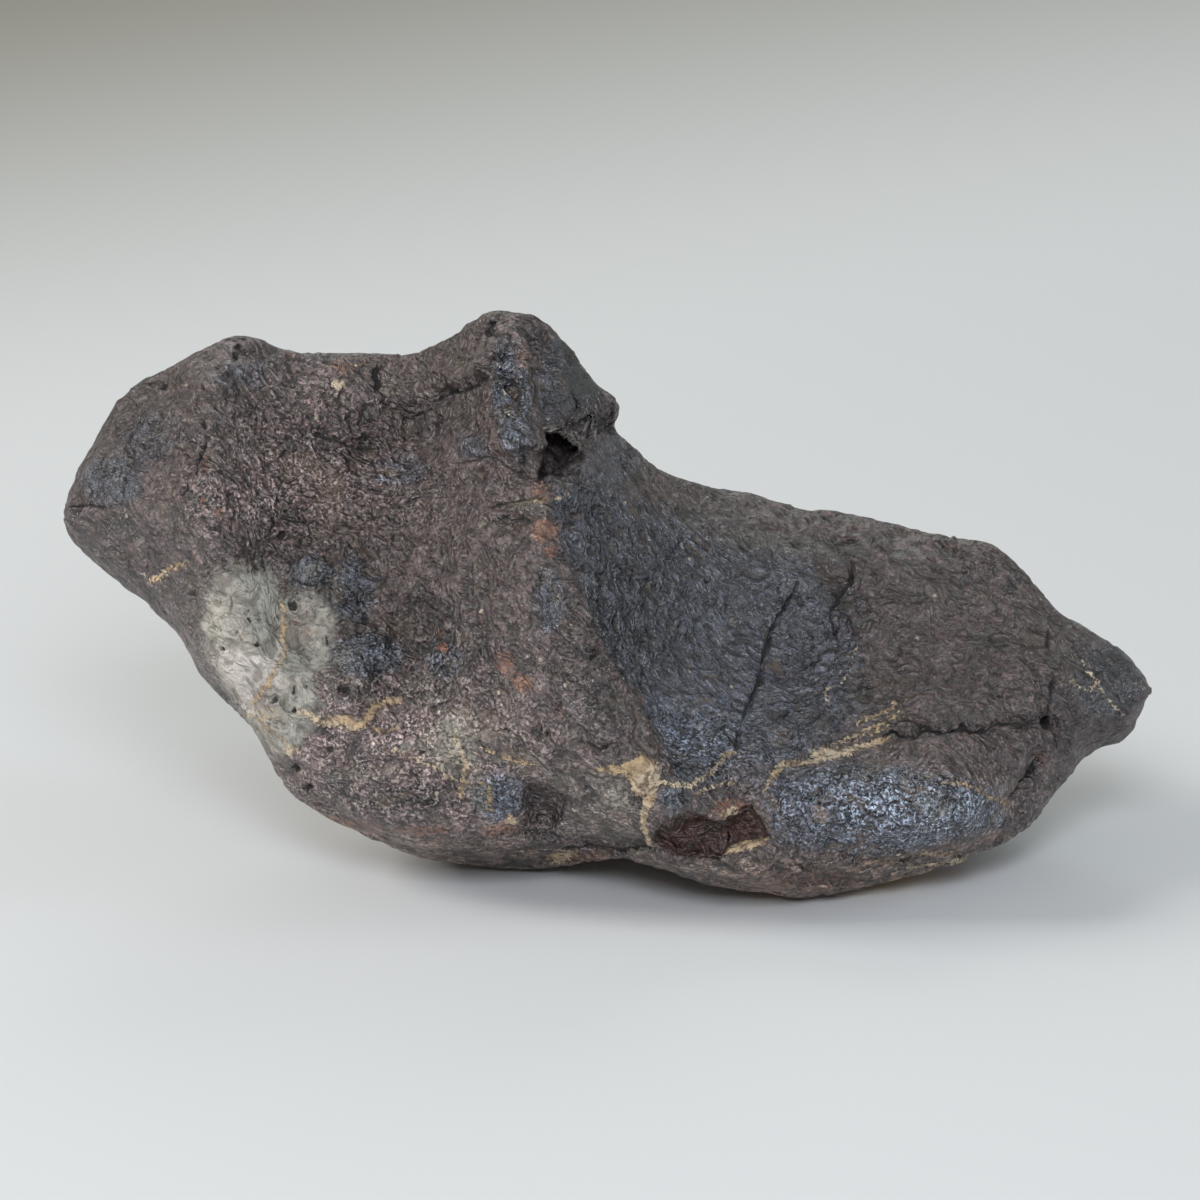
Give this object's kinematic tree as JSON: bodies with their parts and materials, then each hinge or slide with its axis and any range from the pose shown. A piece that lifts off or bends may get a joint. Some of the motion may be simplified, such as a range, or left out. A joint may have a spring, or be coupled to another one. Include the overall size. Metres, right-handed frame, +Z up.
{
  "type": "chondrite meteorite",
  "caption": "Elongated weathered stone meteorite with a raised peak, a scooped flank, a pale dusty side and small flats to rest on.",
  "frame": {"origin": "on the surface the stone rests on, under the middle of its bounding box", "axes": "+X along the stone towards its tapered right tip, +Y away from the viewer of its main side, +Z up"},
  "size_m": [0.0842, 0.0428, 0.0438],
  "materials": {
    "stone": "dark brown-grey weathered stone, finely pitted, with a dull sheen and tan dust in its low places"
  },
  "bodies": {
    "root": {"stone": "stone"}
  },
  "joints": []
}
